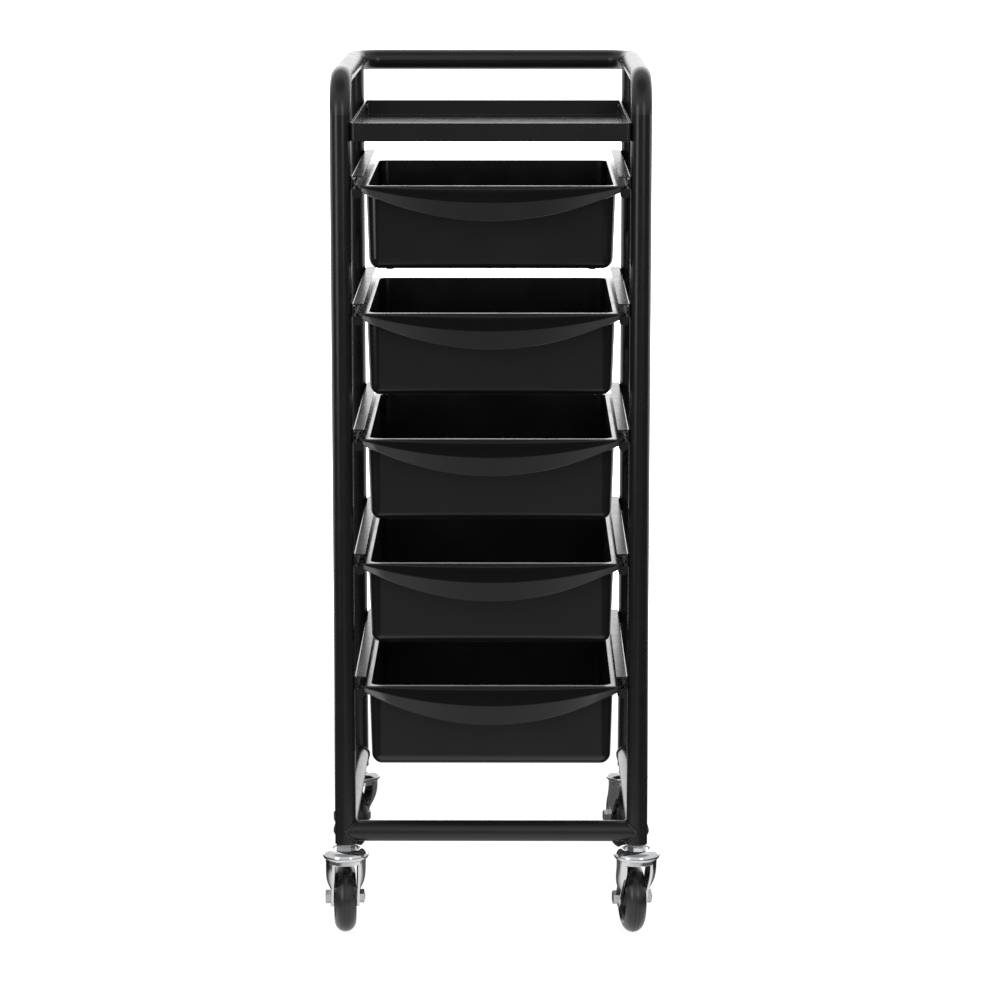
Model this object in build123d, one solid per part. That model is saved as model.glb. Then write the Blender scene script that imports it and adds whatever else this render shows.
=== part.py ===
from build123d import *
import os
from math import cos, radians, sin

# Rolling salon trolley: a bent tube frame on four swivel casters, a shallow tray on top and five
# lift-off drawers that slide out to the front on channel runners.
# Millimetres, +Z up, drawers open towards -Y. Origin on the floor, in the middle of the footprint.

# Frame of round tube
TUBE_R = 11.0
TUBE_WALL = 1.5
POST_X = 153.5
FRONT_Y = -170.0
REAR_Y = 160.0
REAR_BAR_Y = 190.0
POST_BOTTOM_Z = 104.0
RAIL_Z = 906.0
FRONT_BEND_R = 36.0
REAR_BEND_R = 30.0
LOWER_RAIL_Z = 117.5
INNER_X = POST_X - TUBE_R

# Top tray of folded sheet
TRAY_FRONT_Y = -180.0
TRAY_REAR_Y = 182.0
TRAY_BOTTOM_Z = 842.8
TRAY_HEIGHT = 18.8
TRAY_WALL = 2.0
TRAY_FLOOR = 1.5
TRAY_CORNER_R = 4.0

# Drawers, moulded
DRAWER_COUNT = 5
TOP_RIM_Z = 797.8
DRAWER_PITCH = 130.6
DRAWER_HALF_W = 128.0
DRAWER_FRONT_Y = -176.0
DRAWER_BACK_Y = 143.0
DRAWER_HEIGHT = 86.0
DRAWER_WALL = 2.5
DRAWER_CORNER_R = 13.0
DRAWER_BOTTOM_R = 11.0
DRAWER_DRAFT = 2.0
RIM_HALF_W = 138.5
RIM_MARGIN = 3.0
RIM_THICK = 3.0
RIM_CORNER_R = 7.0
NUB_R = 4.0
NUB_HEIGHT = 1.5
NUB_X = 104.0

# Curved pull along the drawer's front rim
PULL_HALF_W = 133.0
PULL_SHOULDER_DROP = 3.2
PULL_RIDGE_OUT = 25.6
PULL_RIDGE_DROP = 13.6
PULL_LIP_OUT = 36.0
PULL_LIP_DROP = 27.0
PULL_END_SHOULDER = 0.7
PULL_END_RIDGE = 1.4
PULL_END_LIP = 5.3
PULL_WALL = 2.4
PULL_STATIONS = 15
PULL_BELOW_RIM = 0.15

# Channel runners, one pair to a drawer
RUNNER_WIDTH = 11.5
RUNNER_SHEET = 1.2
RUNNER_TOP = 9.6
RUNNER_SHELF = 3.4
RUNNER_FRONT_Y = -176.0
RUNNER_REAR_Y = 168.0
TAB_HEIGHT = 8.0
TAB_CORNER_R = 4.2

# Screws that hold the runners and the tray to the posts
SCREW_R = 2.0
SCREW_HEAD_R = 3.4
SCREW_HEAD_T = 1.9
SCREW_REACH = 4.0
RUNNER_SCREW_UP = 2.6
TRAY_SCREW_UP = 12.0

# Casters: turn about +Z of each one at rest, wheel trailing towards the rear
CASTER_TURN = {"front_left": 5.0, "front_right": 8.0, "rear_left": 20.0, "rear_right": 12.0}
TRAIL = 28.0
AXLE_Z = 37.5
WHEEL_R = 37.5
TYRE_HALF_W = 11.3
TYRE_INNER_R = 26.0
TYRE_CROWN_DEPTH = 12.0
TYRE_ARC_POINTS = 9
TYRE_ARC_START = 10.0
AXLE_R = 4.0
HUB_BORE_R = 4.06
KINGPIN_R = 6.0
CROWN_BORE_R = 6.06
FORK_INNER_X = 12.3
FORK_EDGE = 2.7
FORK_SHEET = 2.4
CROWN_R = 21.2
SKIRT_TOP_Z = 88.0
SKIRT_BOTTOM_Z = 84.0
EYE_R = 10.8
NUT_FLATS = 13.0
NUT_T = 5.5
COLLAR_FLATS = 17.0
STEM_R = 5.0
STEM_TOP_Z = 128.0
CUP_TOP_Z = 98.4
PIN_HEAD_Z = 84.7
PIN_HEAD_TOP_Z = 87.2
PIN_HEAD_R = 9.5
BALL_TRACK_Z = 90.0
BALL_R = 2.2
BALL_TRACK_R = 14.5
BALL_COUNT = 14
SOCKET_LENGTH = 26.0

SIDES = {"left": -1.0, "right": 1.0}
ENDS = {"front": FRONT_Y, "rear": REAR_Y}


def bent_path(corners, bend_radii):
    """A wire through the corner points with a round bend at each inner corner."""
    points = [Vector(*c) for c in corners]
    edges = []
    start = points[0]
    for before, corner, after, radius in zip(points, points[1:], points[2:], bend_radii):
        inward = (corner - before).normalized()
        outward = (after - corner).normalized()
        bend_start = corner - inward * radius
        bend_end = corner + outward * radius
        centre = bend_start + outward * radius
        middle = centre + (corner - centre).normalized() * radius
        edges.append(Edge.make_line(start, bend_start))
        edges.append(Edge.make_three_point_arc(bend_start, middle, bend_end))
        start = bend_end
    edges.append(Edge.make_line(start, points[-1]))
    return Wire(edges)


def round_bar(start, end, radius):
    """A solid round bar between two points."""
    axis = Vector(*end) - Vector(*start)
    return extrude(Plane(Vector(*start), z_dir=axis) * Circle(radius), amount=axis.length)


def tube(start, end):
    """A straight length of the frame tube."""
    return round_bar(start, end, TUBE_R) - round_bar(start, end, TUBE_R - TUBE_WALL)


def turned(points):
    """A solid of revolution about Z from (radius, height) points joined by straight lines."""
    outline = Plane.XZ * Polyline(*points, close=True)
    return revolve(make_face(outline), axis=Axis.Z)


# --- frame ---------------------------------------------------------------------------------------

def loop_solid(radius):
    """Front posts, top side rails and rear bar as one bent bar of the given radius."""
    corners = [
        (-POST_X, FRONT_Y, POST_BOTTOM_Z),
        (-POST_X, FRONT_Y, RAIL_Z),
        (-POST_X, REAR_BAR_Y, RAIL_Z),
        (POST_X, REAR_BAR_Y, RAIL_Z),
        (POST_X, FRONT_Y, RAIL_Z),
        (POST_X, FRONT_Y, POST_BOTTOM_Z),
    ]
    path = bent_path(corners, [FRONT_BEND_R, REAR_BEND_R, REAR_BEND_R, FRONT_BEND_R])
    return sweep(Plane(Vector(*corners[0])) * Circle(radius), path=path)


def screw(side, y, z, seat_x):
    """A pan head screw whose head seats at seat_x and whose shank points outwards."""
    shank = round_bar((side * seat_x, y, z), (side * (seat_x + SCREW_REACH), y, z), SCREW_R)
    head = round_bar((side * (seat_x - SCREW_HEAD_T), y, z), (side * seat_x, y, z), SCREW_HEAD_R)
    rim = head.edges().filter_by(GeomType.CIRCLE).sort_by(Axis.X)[0 if side > 0 else -1]
    return shank + fillet(rim, 0.9)


def rim_height(number):
    """Height of the top face of a drawer's rim, counted from the top."""
    return TOP_RIM_Z - DRAWER_PITCH * (number - 1)


def runner(side, rim_z):
    """A channel that opens inwards, with a round tab turned down at its front end."""
    top = rim_z + RUNNER_TOP
    shelf = rim_z - RUNNER_SHELF
    inner = INNER_X - RUNNER_WIDTH
    height = top - shelf + RUNNER_SHEET
    outer = Pos(INNER_X - RUNNER_WIDTH / 2, top - height / 2) * Rectangle(RUNNER_WIDTH, height)
    outer = fillet(outer.vertices().group_by(Axis.X)[-1], 1.5)
    room = Pos(inner + (RUNNER_WIDTH - RUNNER_SHEET) / 2 - 1, (top - RUNNER_SHEET + shelf) / 2)
    room = room * Rectangle(RUNNER_WIDTH - RUNNER_SHEET + 2, top - RUNNER_SHEET - shelf)
    room = fillet(room.vertices().group_by(Axis.X)[-1], 0.5)
    profile = Plane(Vector(0, RUNNER_FRONT_Y, 0), x_dir=(1, 0, 0), z_dir=(0, -1, 0)) * (outer - room)
    channel = extrude(profile, amount=RUNNER_FRONT_Y - RUNNER_REAR_Y)
    tab_plane = Plane(Vector(0, RUNNER_FRONT_Y, 0), x_dir=(1, 0, 0), z_dir=(0, -1, 0))
    tab_top = shelf - RUNNER_SHEET + 0.4
    tab_bottom = shelf - RUNNER_SHEET - TAB_HEIGHT
    tab_place = Pos(INNER_X - RUNNER_WIDTH / 2, (tab_top + tab_bottom) / 2)
    tab = tab_place * Rectangle(RUNNER_WIDTH - 1.6, tab_top - tab_bottom)
    tab = fillet(tab.vertices().group_by(Axis.Y)[0], TAB_CORNER_R)
    body = channel + extrude(tab_plane * tab, amount=-RUNNER_SHEET)
    return body if side > 0 else mirror(body, about=Plane.YZ)


def tray():
    """A shallow open tray that fills the space between the posts."""
    width = 2 * INNER_X
    depth = TRAY_REAR_Y - TRAY_FRONT_Y
    middle = Pos(0, (TRAY_REAR_Y + TRAY_FRONT_Y) / 2, TRAY_BOTTOM_Z)
    outer = extrude(middle * RectangleRounded(width, depth, TRAY_CORNER_R), amount=TRAY_HEIGHT)
    outer = fillet(outer.faces().sort_by(Axis.Z)[0].edges(), 1.5)
    floor = middle * Pos(0, 0, TRAY_FLOOR)
    inner = floor * RectangleRounded(width - 2 * TRAY_WALL, depth - 2 * TRAY_WALL, TRAY_CORNER_R - TRAY_WALL)
    hollow = extrude(inner, amount=TRAY_HEIGHT)
    hollow = fillet(hollow.faces().sort_by(Axis.Z)[0].edges(), 1.2)
    return outer - hollow


# --- drawers -------------------------------------------------------------------------------------

def pull_section(offset, rim_z, front_y):
    """Cross-section of the pull at a distance from the drawer's middle plane."""
    bow = 1 - (offset / PULL_HALF_W) ** 2
    shoulder = PULL_END_SHOULDER + PULL_SHOULDER_DROP * bow
    ridge = (PULL_RIDGE_OUT * bow + 0.4, PULL_END_RIDGE + PULL_RIDGE_DROP * bow)
    lip = (PULL_LIP_OUT * bow + 0.8, PULL_END_LIP + PULL_LIP_DROP * bow)
    slope = 0.5 + 0.5 * bow
    outline = [
        (-2.5, 0.0),
        (0.0, 0.0),
        (0.2, shoulder),
        ridge,
        lip,
        (lip[0] - PULL_WALL * slope, lip[1] + PULL_WALL * 0.35),
        (ridge[0] - PULL_WALL * slope, ridge[1] + PULL_WALL),
        (-2.5, shoulder + PULL_WALL),
    ]
    points = [Vector(offset, front_y - out, rim_z - drop) for out, drop in outline]
    return make_face(Polyline(*points, close=True))


def drawer(rim_z):
    """An open drawer with side rims that ride in the runners and a bowed pull in front."""
    middle_y = (DRAWER_FRONT_Y + DRAWER_BACK_Y) / 2
    depth = DRAWER_BACK_Y - DRAWER_FRONT_Y
    width = 2 * DRAWER_HALF_W
    top = Pos(0, middle_y, rim_z)
    skin = extrude(top * RectangleRounded(width, depth, DRAWER_CORNER_R), -DRAWER_HEIGHT, taper=DRAWER_DRAFT)
    skin = fillet(skin.faces().sort_by(Axis.Z)[0].edges(), DRAWER_BOTTOM_R)
    inner_w = width - 2 * DRAWER_WALL
    inner_d = depth - 2 * DRAWER_WALL
    mouth = top * RectangleRounded(inner_w, inner_d, DRAWER_CORNER_R - DRAWER_WALL)
    room = extrude(mouth, -(DRAWER_HEIGHT - DRAWER_WALL), taper=DRAWER_DRAFT)
    room = fillet(room.faces().sort_by(Axis.Z)[0].edges(), DRAWER_BOTTOM_R - DRAWER_WALL)
    rim_plan = RectangleRounded(2 * RIM_HALF_W, depth + 2 * RIM_MARGIN, RIM_CORNER_R)
    rim = extrude(top * rim_plan, -RIM_THICK)
    front_y = DRAWER_FRONT_Y - RIM_MARGIN
    half = PULL_STATIONS // 2
    offsets = [PULL_HALF_W * 0.995 * i / half for i in range(-half, half + 1)]
    pull = loft([pull_section(offset, rim_z - PULL_BELOW_RIM, front_y) for offset in offsets])
    body = (skin + rim + pull) - room
    nub_y = DRAWER_FRONT_Y + 22
    bottom_z = rim_z - DRAWER_HEIGHT
    for x in (-NUB_X, NUB_X):
        for y in (nub_y, DRAWER_BACK_Y - 22):
            body += Pos(x, y, bottom_z - NUB_HEIGHT / 2 + 0.5) * Cylinder(NUB_R, NUB_HEIGHT + 1)
    return body


# --- casters, each built with its swivel axis on Z and its wheel trailing towards +Y ---------------

def hexagon(flats, start_x, end_x, y, z):
    """A hexagonal prism along X."""
    plane = Plane(Vector(start_x, y, z), z_dir=(1, 0, 0))
    return extrude(plane * RegularPolygon(flats / 2, 6, major_radius=False), amount=end_x - start_x)


def caster_stem():
    """Threaded stem, hexagonal collar and the kingpin with its riveted head."""
    collar = extrude(
        Pos(0, 0, CUP_TOP_Z) * RegularPolygon(COLLAR_FLATS / 2, 6, major_radius=False),
        amount=POST_BOTTOM_Z - CUP_TOP_Z,
    )
    stem = round_bar((0, 0, POST_BOTTOM_Z), (0, 0, STEM_TOP_Z), STEM_R)
    stem = chamfer(stem.edges().sort_by(Axis.Z)[-1], 1.0)
    pin = round_bar((0, 0, PIN_HEAD_Z), (0, 0, CUP_TOP_Z), KINGPIN_R)
    head = round_bar((0, 0, PIN_HEAD_Z), (0, 0, PIN_HEAD_TOP_Z), PIN_HEAD_R)
    head = fillet(head.edges().sort_by(Axis.Z)[0], 1.2)
    return collar + stem + pin + head


def caster_cup():
    """The domed race cup that covers the ball bearing."""
    outside = Polyline((KINGPIN_R, CUP_TOP_Z), (12.0, CUP_TOP_Z))
    dome = ThreePointArc((12.0, CUP_TOP_Z), (21.0, 96.9), (24.0, 92.8))
    roll = ThreePointArc((24.0, 92.8), (23.9, 90.2), (22.6, 88.6))
    inside = Polyline((22.6, 88.6), (20.8, 88.6), (21.6, 92.2), (19.4, 95.0), (12.0, 96.2), (KINGPIN_R, 96.2))
    closing = Line((KINGPIN_R, 96.2), (KINGPIN_R, CUP_TOP_Z))
    outline = Plane.XZ * make_face(outside + dome + roll + inside + closing)
    return revolve(outline, axis=Axis.Z)


def caster_balls():
    """The ring of bearing balls that sits on the fork's crown."""
    balls = []
    for i in range(BALL_COUNT):
        a = radians(360 * i / BALL_COUNT)
        ball_place = Pos(BALL_TRACK_R * cos(a), BALL_TRACK_R * sin(a), BALL_TRACK_Z + BALL_R)
        balls.append(ball_place * Sphere(BALL_R))
    return Compound(children=balls)


# Height, middle, half length and bulge of the fork leg's section, from the crown down to the eye
LEG_SECTIONS = [
    (87.4, 0.0, 14.8, 6.1),
    (84.0, 0.0, 14.8, 6.1),
    (76.0, 1.5, 15.0, 6.0),
    (66.0, 7.0, 14.2, 5.6),
    (57.0, 13.8, 12.9, 4.0),
    (51.0, 19.0, 12.1, 1.8),
    (47.0, 22.3, 11.5, 0.3),
    (45.6, 23.4, 11.3, 0.05),
]


def leg_section(z, middle, half, inset, bulge, inner_x):
    """Closed section of a fork leg at one height, flat inside and bowed outside."""
    edge_x = FORK_INNER_X + FORK_EDGE - inset
    low = middle - half + inset
    high = middle + half - inset
    sides = Polyline((edge_x, low), (inner_x, low), (inner_x, high), (edge_x, high))
    bow = ThreePointArc((edge_x, high), (edge_x + bulge, middle), (edge_x, low))
    return Pos(0, 0, z) * make_face(sides + bow)


def fork_leg():
    """The right-hand leg of the stamped fork."""
    skin = loft([leg_section(z, m, h, 0.0, b, FORK_INNER_X) for z, m, h, b in LEG_SECTIONS])
    hollow_sections = [s for s in LEG_SECTIONS if 55.0 < s[0] < 86.0]
    inner_x = FORK_INNER_X - 0.5
    hollow = loft([leg_section(z, m, h, FORK_SHEET, b, inner_x) for z, m, h, b in hollow_sections])
    low = LEG_SECTIONS[-1]
    eye = Pos(TRAIL, AXLE_Z) * Circle(EYE_R)
    eye += make_face(Polyline(
        (low[1] - low[2], low[0] + 0.2),
        (low[1] + low[2], low[0] + 0.2),
        (TRAIL + EYE_R, AXLE_Z),
        (TRAIL - EYE_R, AXLE_Z),
        close=True,
    ))
    plane = Plane(Vector(FORK_INNER_X, 0, 0), x_dir=(0, 1, 0), z_dir=(1, 0, 0))
    return (skin - hollow) + extrude(plane * eye, amount=FORK_EDGE)


def caster_fork():
    """The stamped fork: a crown with a ball track, a short skirt and two legs."""
    crown = turned([
        (CROWN_BORE_R, PIN_HEAD_TOP_Z + 0.3), (CROWN_BORE_R, BALL_TRACK_Z), (18.4, BALL_TRACK_Z),
        (19.2, SKIRT_TOP_Z + 0.2), (CROWN_R, SKIRT_TOP_Z), (CROWN_R, SKIRT_BOTTOM_Z),
        (CROWN_R - FORK_SHEET, SKIRT_BOTTOM_Z), (CROWN_R - FORK_SHEET, SKIRT_TOP_Z - 1.8),
        (17.2, PIN_HEAD_TOP_Z + 0.3),
    ])
    leg = fork_leg()
    fork = crown + leg + mirror(leg, about=Plane.YZ)
    return fork - round_bar((-30, TRAIL, AXLE_Z), (30, TRAIL, AXLE_Z), AXLE_R)


def caster_bolt():
    """The axle bolt with its hexagonal head."""
    seat = FORK_INNER_X + FORK_EDGE
    head = hexagon(NUT_FLATS, -seat - NUT_T, -seat, TRAIL, AXLE_Z)
    shank = round_bar((-seat, TRAIL, AXLE_Z), (seat + NUT_T + 1.0, TRAIL, AXLE_Z), AXLE_R)
    return head + chamfer(shank.edges().sort_by(Axis.X)[-1], 0.8)


def caster_nut():
    """The nut on the axle bolt's end."""
    seat = FORK_INNER_X + FORK_EDGE
    blank = hexagon(NUT_FLATS, seat, seat + NUT_T, TRAIL, AXLE_Z)
    return blank - round_bar((seat - 1, TRAIL, AXLE_Z), (seat + NUT_T + 1, TRAIL, AXLE_Z), AXLE_R)


def wheel_part(outline):
    """A body of revolution about the wheel's axle from an outline of (along axle, radius)."""
    body = revolve(make_face(outline), axis=Axis.X)
    return Pos(0, TRAIL, AXLE_Z) * body


def caster_hub():
    """The moulded wheel centre with its bore."""
    half_rim = 9.0
    half_boss = FORK_INNER_X - 0.4
    right = [
        (half_boss, HUB_BORE_R), (half_boss, 8.0), (7.0, 9.5), (3.0, 11.0), (3.0, 20.0),
        (half_rim, 22.0), (half_rim, TYRE_INNER_R),
    ]
    left = [(-x, r) for x, r in reversed(right)]
    return wheel_part(Polyline(*(right + left), close=True))


def caster_tyre():
    """The tyre with an elliptical tread and two fine grooves beside its middle rib."""
    half_base = 9.0
    crown_points = []
    for i in range(TYRE_ARC_POINTS):
        a = radians(TYRE_ARC_START + (180 - 2 * TYRE_ARC_START) * i / (TYRE_ARC_POINTS - 1))
        crown_points.append((
            TYRE_HALF_W * cos(a),
            WHEEL_R - TYRE_CROWN_DEPTH * (1 - sin(a)),
        ))
    base = Polyline(crown_points[-1], (-half_base, TYRE_INNER_R), (half_base, TYRE_INNER_R), crown_points[0])
    tyre = wheel_part(base + Spline(*crown_points))
    for x in (-1.9, 1.9):
        ring = round_bar((x - 0.4, TRAIL, AXLE_Z), (x + 0.4, TRAIL, AXLE_Z), WHEEL_R + 1)
        ring -= round_bar((x - 1, TRAIL, AXLE_Z), (x + 1, TRAIL, AXLE_Z), WHEEL_R - 0.7)
        tyre -= ring
    return tyre


# --- assembly ------------------------------------------------------------------------------------

def build():
    """Every node by name, placed in the trolley's frame."""
    nodes = {}
    loop_filled = loop_solid(TUBE_R)
    nodes["bent_tube_loop"] = loop_filled - loop_solid(TUBE_R - TUBE_WALL)
    for side_name, side in SIDES.items():
        x = side * POST_X
        nodes[f"rear_post_{side_name}"] = tube((x, REAR_Y, POST_BOTTOM_Z), (x, REAR_Y, RAIL_Z)) - loop_filled
        low_rail = tube((x, FRONT_Y, LOWER_RAIL_Z), (x, REAR_Y, LOWER_RAIL_Z)) - loop_filled
        rear_post = round_bar((x, REAR_Y, POST_BOTTOM_Z), (x, REAR_Y, RAIL_Z), TUBE_R)
        nodes[f"bottom_rail_{side_name}"] = low_rail - rear_post
    cross = tube((-POST_X, FRONT_Y, LOWER_RAIL_Z), (POST_X, FRONT_Y, LOWER_RAIL_Z)) - loop_filled
    for side in SIDES.values():
        x = side * POST_X
        cross -= round_bar((x, FRONT_Y, LOWER_RAIL_Z), (x, REAR_Y, LOWER_RAIL_Z), TUBE_R)
    nodes["front_crossbar"] = cross
    nodes["top_tray"] = tray()

    runner_screws = []
    tray_screws = []
    for side_name, side in SIDES.items():
        for end_y in ENDS.values():
            tray_screws.append(screw(side, end_y, TRAY_BOTTOM_Z + TRAY_SCREW_UP, INNER_X - TRAY_WALL))
        for number in range(1, DRAWER_COUNT + 1):
            rim_z = rim_height(number)
            pair = [screw(side, y, rim_z + RUNNER_SCREW_UP, INNER_X - RUNNER_SHEET) for y in ENDS.values()]
            runner_screws += pair
            rail = runner(side, rim_z)
            for item in pair:
                rail -= item
            nodes[f"runner_{number}_{side_name}"] = rail
    for item in tray_screws:
        nodes["top_tray"] -= item
    for item in runner_screws + tray_screws:
        centre = item.center()
        end = "bent_tube_loop" if centre.Y < 0 else "rear_post_left" if centre.X < 0 else "rear_post_right"
        nodes[end] -= item
    nodes["runner_screws"] = Compound(children=runner_screws)
    nodes["tray_screws"] = Compound(children=tray_screws)

    for number in range(1, DRAWER_COUNT + 1):
        nodes[f"drawer_{number}"] = drawer(rim_height(number))

    sockets = []
    makers = {
        "stem": caster_stem, "race_cup": caster_cup, "bearing_balls": caster_balls, "fork": caster_fork,
        "axle_bolt": caster_bolt, "axle_nut": caster_nut, "wheel_hub": caster_hub, "tyre": caster_tyre,
    }
    pieces = {name: make() for name, make in makers.items()}
    for end_name, end_y in ENDS.items():
        for side_name, side in SIDES.items():
            corner = f"{end_name}_{side_name}"
            place = Pos(side * POST_X, end_y, 0) * Rot(0, 0, CASTER_TURN[corner])
            for name, piece in pieces.items():
                nodes[f"caster_{corner}_{name}"] = place * piece
            foot = (side * POST_X, end_y, POST_BOTTOM_Z)
            head = (side * POST_X, end_y, POST_BOTTOM_Z + SOCKET_LENGTH)
            plug = round_bar(foot, head, TUBE_R - TUBE_WALL) - round_bar(foot, head, STEM_R)
            for item in runner_screws:
                plug -= item
            sockets.append(plug)
    nodes["stem_sockets"] = Compound(children=sockets)
    return nodes


os.makedirs("parts", exist_ok=True)
for node_name, node in build().items():
    export_step(node, f"parts/{node_name}.step")
    print(node_name, round(node.volume), "mm3", node.bounding_box().size)
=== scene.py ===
from math import cos, pi, sin

import bmesh
import bpy
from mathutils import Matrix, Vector


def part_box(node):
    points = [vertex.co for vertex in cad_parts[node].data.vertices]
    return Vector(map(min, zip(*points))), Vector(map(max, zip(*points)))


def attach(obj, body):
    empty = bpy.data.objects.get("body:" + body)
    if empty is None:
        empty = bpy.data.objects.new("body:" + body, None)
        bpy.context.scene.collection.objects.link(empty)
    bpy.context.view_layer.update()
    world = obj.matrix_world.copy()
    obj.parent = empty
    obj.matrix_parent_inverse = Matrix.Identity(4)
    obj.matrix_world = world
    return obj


# Rolling salon trolley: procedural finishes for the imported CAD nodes, plain studio and camera.
# Metres, in the frame of the CAD: +Z up, the drawers open towards -Y.

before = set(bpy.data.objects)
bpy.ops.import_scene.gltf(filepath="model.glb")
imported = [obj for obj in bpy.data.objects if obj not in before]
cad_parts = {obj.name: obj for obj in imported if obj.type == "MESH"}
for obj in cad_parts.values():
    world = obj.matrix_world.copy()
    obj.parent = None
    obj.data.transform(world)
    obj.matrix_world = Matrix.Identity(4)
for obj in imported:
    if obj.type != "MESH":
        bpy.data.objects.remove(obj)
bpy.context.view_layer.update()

DRAWERS = range(1, 6)
SIDES = ("left", "right")
CORNERS = ("front_left", "front_right", "rear_left", "rear_right")

# Camera at the photograph's viewing angle
CAMERA_PLACE = Vector((0.025, -3.816, 1.123))
CAMERA_YAW_SLOPE = -0.0043
CAMERA_PITCH_SLOPE = -0.1787
CAMERA_LENS = 128.6
SENSOR = 36.0

# Studio brightness, as radiance, round the object, and the directions where it changes: the height of a
# ray for the first three, and how far it points to the back for the last two
BACKDROP = 1.9
UPPER_BACK = 0.8
UPPER_FRONT = 0.7
HIGH_FRONT = 0.26
LOW_FRONT = 0.26
CAMERA_WHITE = 4.0
HORIZON_BAND = (-0.05, 0.25)
OVERHEAD_BAND = (0.68, 0.86)
ABOVE_BAND = (0.45, 0.8)
BEHIND_BAND = (-0.05, 0.25)
BACKDROP_BAND = (0.62, 0.82)

# Soft boxes: place, the point they face, width and height, radiance
SOFT_BOXES = {
    "box_left": ((-1.85, -1.95, 1.0), (-0.15, -0.17, 0.95), (0.95, 1.5), 2.4),
    "box_right": ((1.1, -2.4, 1.3), (0.15, -0.17, 1.1), (0.6, 1.4), 2.2),
}

# Floor: its size and brightness, and the distances where its brightness changes
FLOOR_HALF = 30.0
FLOOR_DROP = 0.0002
FLOOR_GLOW = 0.9
FLOOR_ALBEDO = 0.3
# Painted light of the floor in reflections: a painted pool of light just in front of the wheels, a painted
# shadow under and beside the trolley, and a painted bright stretch far behind
PAINTED_FLOOR_LIGHT = 0.85
PAINTED_FLOOR_SHADOW = 0.12
PAINTED_FLOOR_BEHIND = 1.7
WHITE_BAND = (0.75, 1.6)
FRONT_BAND = (-0.7, -0.3)
UNDER_BAND = (-0.16, -0.06)
SIDE_BAND = (0.2, 0.36)
REAR_BAND = (0.3, 0.9)

# Rays per sample that look for a nearby edge, and the change of normal that counts as one
EDGE_SAMPLES = 6
EDGE_BAND = (0.90, 0.995)

# Weld beads under the powder coat
BEAD_RADIUS = 0.0016
BEAD_RIPPLE = 0.00022
BEAD_RIPPLES = 24
BEAD_STEPS = 144
BEAD_SIDES = 10


# --- material helpers ----------------------------------------------------------------------------

def link_math(tree, operation, first, second):
    """A Math node in any tree, from sockets or numbers."""
    node = tree.nodes.new("ShaderNodeMath")
    node.operation = operation
    for socket, value in zip(node.inputs, (first, second)):
        if isinstance(value, (int, float)):
            socket.default_value = value
        else:
            tree.links.new(value, socket)
    return node.outputs["Value"]


class Finish:
    """A node material with a Principled shader and short calls for the nodes that shape it."""

    def __init__(self, name):
        self.material = bpy.data.materials.new(name)
        self.material.use_nodes = True
        self.nodes = self.material.node_tree.nodes
        self.links = self.material.node_tree.links
        self.shader = self.nodes["Principled BSDF"]
        self.place = self.nodes.new("ShaderNodeTexCoord").outputs["Object"]

    def set(self, **values):
        """Constant values straight on the shader's own sockets, with _ for a space in a name."""
        for name, value in values.items():
            self.shader.inputs[name.replace("_", " ")].default_value = value

    def join(self, source, socket):
        self.links.new(source, self.shader.inputs[socket])

    def noise(self, scale, detail=2.0, stretch=None):
        """Noise in 0..1 with features about one over scale metres wide."""
        node = self.nodes.new("ShaderNodeTexNoise")
        node.inputs["Scale"].default_value = scale
        node.inputs["Detail"].default_value = detail
        self.links.new(self.stretched(stretch), node.inputs["Vector"])
        return node.outputs["Fac"]

    def stretched(self, stretch):
        """Object coordinates, drawn out along the axes where stretch is below one."""
        if stretch is None:
            return self.place
        node = self.nodes.new("ShaderNodeMapping")
        node.inputs["Scale"].default_value = stretch
        self.links.new(self.place, node.inputs["Vector"])
        return node.outputs["Vector"]

    def spread(self, value, low, high, start=0.3, end=0.7):
        """A value from start..end mapped to low..high."""
        node = self.nodes.new("ShaderNodeMapRange")
        node.inputs["From Min"].default_value = start
        node.inputs["From Max"].default_value = end
        node.inputs["To Min"].default_value = low
        node.inputs["To Max"].default_value = high
        self.links.new(value, node.inputs["Value"])
        return node.outputs["Result"]

    def shade(self, value, dark, light):
        """A colour between dark and light."""
        node = self.nodes.new("ShaderNodeMix")
        node.data_type = "RGBA"
        colour_a, colour_b = [s for s in node.inputs if s.type == "RGBA"][:2]
        self.set_colour(colour_a, dark)
        self.set_colour(colour_b, light)
        self.links.new(value, node.inputs["Factor"])
        return next(s for s in node.outputs if s.type == "RGBA")

    def set_colour(self, socket, colour):
        """A fixed colour on a socket, or a link if it is another node's output."""
        if isinstance(colour, tuple):
            socket.default_value = (*colour, 1.0)
        else:
            self.links.new(colour, socket)

    def math(self, operation, first, second):
        return link_math(self.material.node_tree, operation, first, second)

    def edges(self, width):
        """1 on edges sharper than the given width, 0 on flat stretches, and the rounded normal."""
        bevel = self.nodes.new("ShaderNodeBevel")
        bevel.samples = EDGE_SAMPLES
        bevel.inputs["Radius"].default_value = width
        surface = self.nodes.new("ShaderNodeNewGeometry")
        dot = self.nodes.new("ShaderNodeVectorMath")
        dot.operation = "DOT_PRODUCT"
        self.links.new(bevel.outputs["Normal"], dot.inputs[0])
        self.links.new(surface.outputs["Normal"], dot.inputs[1])
        return self.spread(dot.outputs["Value"], 1.0, 0.0, *EDGE_BAND), bevel.outputs["Normal"]

    def relief(self, layers, normal=None):
        """Bump from (height, depth in metres) layers, one on top of the other."""
        for height, depth in layers:
            node = self.nodes.new("ShaderNodeBump")
            node.inputs["Distance"].default_value = depth
            self.links.new(height, node.inputs["Height"])
            if normal is not None:
                self.links.new(normal, node.inputs["Normal"])
            normal = node.outputs["Normal"]
        self.join(normal, "Normal")


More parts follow.
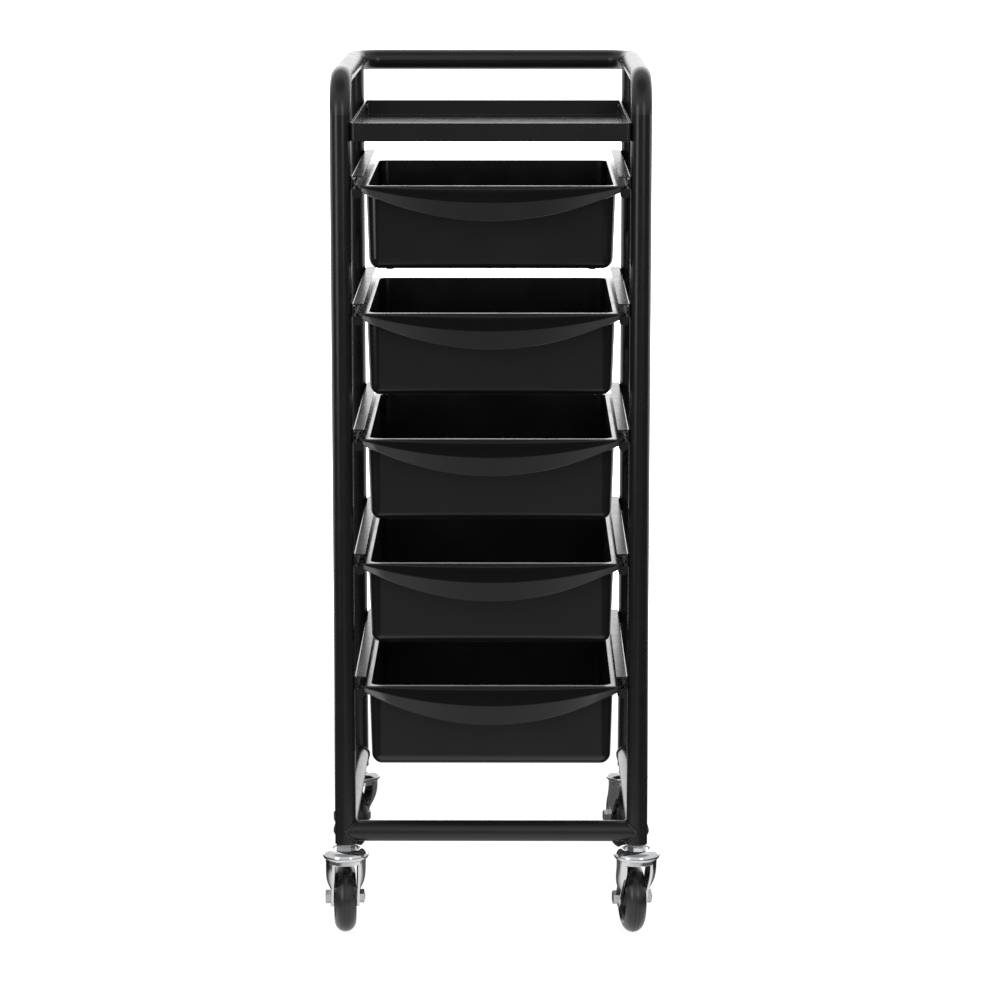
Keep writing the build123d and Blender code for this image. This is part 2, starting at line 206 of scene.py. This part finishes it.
def powder_coat():
    """Satin black powder coat with a fine orange peel and a little wear on its edges."""
    coat = Finish("black_powder_coat")
    worn, rounded = coat.edges(0.0007)
    tone = coat.shade(coat.noise(26, 3), (0.0135, 0.013, 0.014), (0.018, 0.0172, 0.0182))
    rubbed = coat.math("MULTIPLY", worn, coat.spread(coat.noise(140, 3), 0.0, 0.5))
    coat.join(coat.shade(rubbed, tone, (0.035, 0.034, 0.034)), "Base Color")
    coat.join(coat.spread(coat.noise(55, 4), 0.23, 0.28), "Roughness")
    coat.relief([(coat.noise(60, 1), 0.00001), (coat.noise(900, 1), 0.0000008)], rounded)
    return coat.material


def moulded_plastic():
    """Black plastic with a soft gloss, faint flow marks, wipe marks and fine scratches."""
    plastic = Finish("black_plastic")
    worn, rounded = plastic.edges(0.0012)
    tone = plastic.shade(plastic.noise(14, 4), (0.013, 0.0125, 0.0135), (0.018, 0.0172, 0.018))
    plastic.join(plastic.shade(worn, tone, (0.022, 0.0215, 0.0225)), "Base Color")
    cloudy = plastic.spread(plastic.noise(22, 5), 0.0, 1.0, 0.45, 0.75)
    scratch = plastic.spread(plastic.noise(420, 2, (1.0, 1.0, 0.05)), 0.0, 1.0, 0.66, 0.8)
    gloss = plastic.math("ADD", plastic.spread(cloudy, 0.15, 0.24, 0.0, 1.0),
                         plastic.math("MULTIPLY", scratch, 0.06))
    plastic.join(gloss, "Roughness")
    plastic.relief([(plastic.noise(22, 1), 0.00003), (plastic.noise(1700, 1), 0.000001)], rounded)
    return plastic.material


def chrome():
    """Bright chrome plate with soft handling marks."""
    plate = Finish("chrome_plate")
    plate.set(Metallic=1.0)
    plate.join(plate.shade(plate.noise(90, 3), (0.74, 0.75, 0.77), (0.86, 0.87, 0.88)), "Base Color")
    plate.join(plate.spread(plate.noise(160, 5), 0.04, 0.14, 0.35, 0.75), "Roughness")
    plate.relief([(plate.noise(130, 1), 0.00003)], plate.edges(0.0006)[1])
    return plate.material


def zinc_steel():
    """Zinc plated steel of the nuts and bolts, duller than the chrome."""
    zinc = Finish("zinc_steel")
    zinc.set(Metallic=1.0)
    zinc.join(zinc.shade(zinc.noise(240, 4), (0.48, 0.49, 0.5), (0.66, 0.66, 0.66)), "Base Color")
    zinc.join(zinc.spread(zinc.noise(600, 3), 0.18, 0.32), "Roughness")
    zinc.relief([(zinc.noise(900, 2), 0.00001)], zinc.edges(0.0006)[1])
    return zinc.material


def ball_steel():
    """Polished bearing steel with a thin film of grease."""
    steel = Finish("ball_steel")
    steel.set(Metallic=1.0)
    steel.join(steel.shade(steel.noise(300, 2), (0.42, 0.4, 0.36), (0.62, 0.62, 0.62)), "Base Color")
    steel.join(steel.spread(steel.noise(500, 2), 0.1, 0.3), "Roughness")
    return steel.material


def black_screw():
    """Black oxide of the small pan head screws."""
    oxide = Finish("black_screw")
    worn, rounded = oxide.edges(0.0005)
    tone = oxide.shade(oxide.noise(500, 3), (0.012, 0.012, 0.013), (0.022, 0.022, 0.022))
    oxide.join(oxide.shade(worn, tone, (0.08, 0.08, 0.078)), "Base Color")
    oxide.join(oxide.spread(oxide.noise(700, 2), 0.3, 0.45), "Roughness")
    oxide.relief([(oxide.noise(1600, 2), 0.00001)], rounded)
    return oxide.material


def grey_nylon():
    """Dark grey nylon of the wheel centres with a matt moulded skin."""
    nylon = Finish("grey_nylon")
    nylon.join(nylon.shade(nylon.noise(120, 3), (0.018, 0.018, 0.019), (0.035, 0.035, 0.036)), "Base Color")
    nylon.join(nylon.spread(nylon.noise(300, 3), 0.38, 0.52), "Roughness")
    nylon.relief([(nylon.noise(2200, 2), 0.00001)], nylon.edges(0.0006)[1])
    return nylon.material


def black_rubber():
    """Black rubber tyre with a soft gloss and a trace of floor dust."""
    rubber = Finish("black_rubber")
    dust = rubber.spread(rubber.noise(75, 5), 0.0, 1.0, 0.55, 0.8)
    rubber.join(rubber.shade(dust, (0.02, 0.02, 0.021), (0.034, 0.033, 0.032)), "Base Color")
    rubber.join(rubber.spread(rubber.noise(130, 4), 0.22, 0.34), "Roughness")
    rubber.relief([(rubber.noise(90, 1), 0.00001), (rubber.noise(1500, 1), 0.000002)])
    return rubber.material


def finish_nodes():
    """Gives each CAD node the material of what it is made of, and returns the powder coat."""
    coat = powder_coat()
    plastic = moulded_plastic()
    plate = chrome()
    zinc = zinc_steel()
    steel = ball_steel()
    oxide = black_screw()
    nylon = grey_nylon()
    rubber = black_rubber()
    finishes = {name: coat for name in ("bent_tube_loop", "front_crossbar", "top_tray")}
    finishes.update({f"{part}_{side}": coat for part in ("rear_post", "bottom_rail") for side in SIDES})
    finishes.update({f"runner_{n}_{side}": coat for n in DRAWERS for side in SIDES})
    finishes.update({f"drawer_{n}": plastic for n in DRAWERS})
    finishes.update({"runner_screws": oxide, "tray_screws": oxide, "stem_sockets": zinc})
    caster = {
        "stem": zinc, "race_cup": plate, "bearing_balls": steel, "fork": plate,
        "axle_bolt": zinc, "axle_nut": zinc, "wheel_hub": nylon, "tyre": rubber,
    }
    for corner in CORNERS:
        finishes.update({f"caster_{corner}_{part}": look for part, look in caster.items()})
    for name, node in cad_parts.items():
        node.data.materials.clear()
        node.data.materials.append(finishes[name])
    return coat


# --- weld beads ----------------------------------------------------------------------------------

def bead_line(centre, branch, post, radius):
    """The closed line where a tube along branch meets one of the same radius along post."""
    side = branch.cross(post)
    points = []
    for i in range(BEAD_STEPS):
        a = 2 * pi * i / BEAD_STEPS
        points.append(centre + (branch * abs(sin(a)) + side * cos(a) + post * sin(a)) * radius)
    return points


def add_bead(mesh, centre, branch, post, radius):
    """Adds a rippled bead round one tube joint to a bmesh."""
    points = bead_line(centre, branch, post, radius)
    rings = []
    for i, point in enumerate(points):
        along = (points[(i + 1) % BEAD_STEPS] - points[i - 1]).normalized()
        outward = point - centre
        outward -= branch * outward.dot(branch)
        outward = (outward - along * outward.dot(along)).normalized()
        across = along.cross(outward)
        thick = BEAD_RADIUS + BEAD_RIPPLE * abs(sin(BEAD_RIPPLES * pi * i / BEAD_STEPS))
        ring = []
        for k in range(BEAD_SIDES):
            a = 2 * pi * k / BEAD_SIDES
            ring.append(mesh.verts.new(point + (outward * cos(a) + across * sin(a)) * thick))
        rings.append(ring)
    for i, ring in enumerate(rings):
        after = rings[(i + 1) % BEAD_STEPS]
        for k in range(BEAD_SIDES):
            m = (k + 1) % BEAD_SIDES
            face = mesh.faces.new((ring[k], ring[m], after[m], after[k]))
            face.smooth = True


def weld_beads(coat):
    """Weld beads where the posts, the bottom rails, the crossbar and the top rails meet."""
    post_low, post_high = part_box("rear_post_right")
    cross_low, cross_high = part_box("front_crossbar")
    rail_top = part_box("bent_tube_loop")[1].z
    radius = (post_high.x - post_low.x) / 2
    post_x = (post_high.x + post_low.x) / 2
    rear_y = (post_high.y + post_low.y) / 2
    front_y = (cross_high.y + cross_low.y) / 2
    low_z = (cross_high.z + cross_low.z) / 2
    rail_z = rail_top - radius
    along_x, along_y, up = Vector((1, 0, 0)), Vector((0, 1, 0)), Vector((0, 0, 1))
    mesh = bmesh.new()
    for side in (-1, 1):
        front_foot = Vector((side * post_x, front_y, low_z))
        rear_foot = Vector((side * post_x, rear_y, low_z))
        rear_head = Vector((side * post_x, rear_y, rail_z))
        add_bead(mesh, front_foot, along_x * -side, up, radius)
        add_bead(mesh, front_foot, along_y, up, radius)
        add_bead(mesh, rear_foot, -along_y, up, radius)
        add_bead(mesh, rear_head, -up, along_y, radius)
    bmesh.ops.recalc_face_normals(mesh, faces=mesh.faces)
    data = bpy.data.meshes.new("weld_beads")
    mesh.to_mesh(data)
    mesh.free()
    data.materials.append(coat)
    beads = bpy.data.objects.new("weld_beads", data)
    bpy.context.scene.collection.objects.link(beads)
    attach(beads, "frame")


# --- studio --------------------------------------------------------------------------------------

def smooth_range(tree, value, band, low, high):
    """A smooth step from low to high as value goes from the start to the end of the band."""
    start, end = band
    node = tree.nodes.new("ShaderNodeMapRange")
    node.interpolation_type = "SMOOTHSTEP"
    for name, number in (("From Min", start), ("From Max", end), ("To Min", low), ("To Max", high)):
        node.inputs[name].default_value = number
    tree.links.new(value, node.inputs["Value"])
    return node.outputs["Result"]


def studio_world():
    """White round the object, bright behind it and dim in front, as in a room with a lit backdrop."""
    world = bpy.data.worlds.new("studio")
    bpy.context.scene.world = world
    world.use_nodes = True
    tree = world.node_tree
    background = tree.nodes["Background"]
    background.inputs["Color"].default_value = (1.0, 1.0, 1.0, 1.0)
    direction = tree.nodes.new("ShaderNodeSeparateXYZ")
    coordinates = tree.nodes.new("ShaderNodeTexCoord")
    tree.links.new(coordinates.outputs["Generated"], direction.inputs["Vector"])
    front = smooth_range(tree, direction.outputs["Z"], HORIZON_BAND, LOW_FRONT, UPPER_FRONT)
    overhead = smooth_range(tree, direction.outputs["Z"], OVERHEAD_BAND, 0.0, UPPER_FRONT - HIGH_FRONT)
    front = link_math(tree, "SUBTRACT", front, overhead)
    above = smooth_range(tree, direction.outputs["Z"], ABOVE_BAND, 0.0, UPPER_BACK)
    behind = smooth_range(tree, direction.outputs["Y"], BEHIND_BAND, 0.0, 1.0)
    backdrop = smooth_range(tree, direction.outputs["Y"], BACKDROP_BAND, 0.0, BACKDROP)
    lit = link_math(tree, "MAXIMUM", front, link_math(tree, "MULTIPLY", above, behind))
    lit = link_math(tree, "MAXIMUM", lit, backdrop)
    seen = tree.nodes.new("ShaderNodeLightPath").outputs["Is Camera Ray"]
    white = link_math(tree, "MULTIPLY", seen, CAMERA_WHITE)
    tree.links.new(link_math(tree, "MAXIMUM", lit, white), background.inputs["Strength"])


def floor():
    """A plain pale floor that runs out into the white of the backdrop."""
    mesh = bpy.data.meshes.new("floor")
    corners = [(-FLOOR_HALF, -FLOOR_HALF), (FLOOR_HALF, -FLOOR_HALF), (FLOOR_HALF, FLOOR_HALF),
               (-FLOOR_HALF, FLOOR_HALF)]
    mesh.from_pydata([(x, y, -FLOOR_DROP) for x, y in corners], [], [(0, 1, 2, 3)])
    plane = bpy.data.objects.new("floor", mesh)
    bpy.context.scene.collection.objects.link(plane)
    mesh.materials.append(floor_material())


def floor_material():
    """White where the camera looks, with a faint shadow near the wheels. Reflections see painted light on
    the floor: a painted glow just in front of the wheels and far behind, a painted shadow under the trolley
    and beside it, and dim elsewhere."""
    material = bpy.data.materials.new("pale_floor")
    material.use_nodes = True
    tree = material.node_tree
    tree.nodes.remove(tree.nodes["Principled BSDF"])
    matt = tree.nodes.new("ShaderNodeBsdfDiffuse")
    matt.inputs["Color"].default_value = (FLOOR_ALBEDO, FLOOR_ALBEDO, FLOOR_ALBEDO, 1.0)
    glow = tree.nodes.new("ShaderNodeEmission")
    glow.inputs["Strength"].default_value = FLOOR_GLOW
    near = tree.nodes.new("ShaderNodeAddShader")
    tree.links.new(matt.outputs["BSDF"], near.inputs[0])
    tree.links.new(glow.outputs["Emission"], near.inputs[1])
    far = tree.nodes.new("ShaderNodeEmission")
    far.inputs["Strength"].default_value = CAMERA_WHITE
    place = tree.nodes.new("ShaderNodeTexCoord").outputs["Object"]
    length = tree.nodes.new("ShaderNodeVectorMath")
    length.operation = "LENGTH"
    tree.links.new(place, length.inputs[0])
    away = smooth_range(tree, length.outputs["Value"], WHITE_BAND, 0.0, 1.0)
    seen = mixed_shader(tree, away, near.outputs["Shader"], far.outputs["Emission"])
    parts = tree.nodes.new("ShaderNodeSeparateXYZ")
    tree.links.new(place, parts.inputs["Vector"])
    along = parts.outputs["Y"]
    aside = link_math(tree, "ABSOLUTE", parts.outputs["X"], 0.0)
    # Painted light seen only in reflections: a painted pool of light in front of the wheels, painted shadow
    # under the trolley and at its sides, and a painted bright stretch far behind, all as emission
    in_front = smooth_range(tree, along, FRONT_BAND, LOW_FRONT, PAINTED_FLOOR_LIGHT)
    painted_under_shadow = smooth_range(tree, along, UNDER_BAND, 1.0, PAINTED_FLOOR_SHADOW)
    in_front = link_math(tree, "MULTIPLY", in_front, painted_under_shadow)
    sides = smooth_range(tree, aside, SIDE_BAND, 1.0, PAINTED_FLOOR_SHADOW)
    painted_near_light_and_shadow = link_math(tree, "MULTIPLY", in_front, sides)
    behind = smooth_range(tree, along, REAR_BAND, 0.0, PAINTED_FLOOR_BEHIND)
    painted_floor_glow = tree.nodes.new("ShaderNodeEmission")
    tree.links.new(link_math(tree, "MAXIMUM", painted_near_light_and_shadow, behind), painted_floor_glow.inputs["Strength"])
    camera_ray = tree.nodes.new("ShaderNodeLightPath").outputs["Is Camera Ray"]
    surface = mixed_shader(tree, camera_ray, painted_floor_glow.outputs["Emission"], seen)
    tree.links.new(surface, tree.nodes["Material Output"].inputs["Surface"])
    return material


def mixed_shader(tree, share, first, second):
    """The first shader where share is 0 and the second where it is 1."""
    mix = tree.nodes.new("ShaderNodeMixShader")
    tree.links.new(share, mix.inputs["Fac"])
    tree.links.new(first, mix.inputs[1])
    tree.links.new(second, mix.inputs[2])
    return mix.outputs["Shader"]


def softbox(name, place, target, size, radiance):
    """A rectangular area light of the given radiance that the camera doesn't see."""
    light = bpy.data.lights.new(name, "AREA")
    light.shape = "RECTANGLE"
    light.size, light.size_y = size
    light.energy = radiance * pi * size[0] * size[1]
    lamp = bpy.data.objects.new(name, light)
    bpy.context.scene.collection.objects.link(lamp)
    lamp.location = place
    lamp.rotation_mode = "QUATERNION"
    lamp.rotation_quaternion = (Vector(target) - Vector(place)).to_track_quat("-Z", "Y")
    lamp.visible_camera = False


def lights():
    """Two tall soft boxes in front, the right one higher up."""
    for name, (place, target, size, radiance) in SOFT_BOXES.items():
        softbox(name, place, target, size, radiance)


def camera():
    """The camera at the photograph's viewing angle."""
    data = bpy.data.cameras.new("camera")
    data.sensor_width = SENSOR
    data.lens = CAMERA_LENS
    data.clip_end = 200.0
    eye = bpy.data.objects.new("camera", data)
    bpy.context.scene.collection.objects.link(eye)
    eye.location = CAMERA_PLACE
    eye.rotation_mode = "QUATERNION"
    aim = Vector((CAMERA_YAW_SLOPE, 1.0, CAMERA_PITCH_SLOPE))
    eye.rotation_quaternion = aim.to_track_quat("-Z", "Y")
    bpy.context.scene.camera = eye


weld_beads(finish_nodes())
studio_world()
floor()
lights()
camera()
bpy.context.scene.view_settings.view_transform = "Standard"
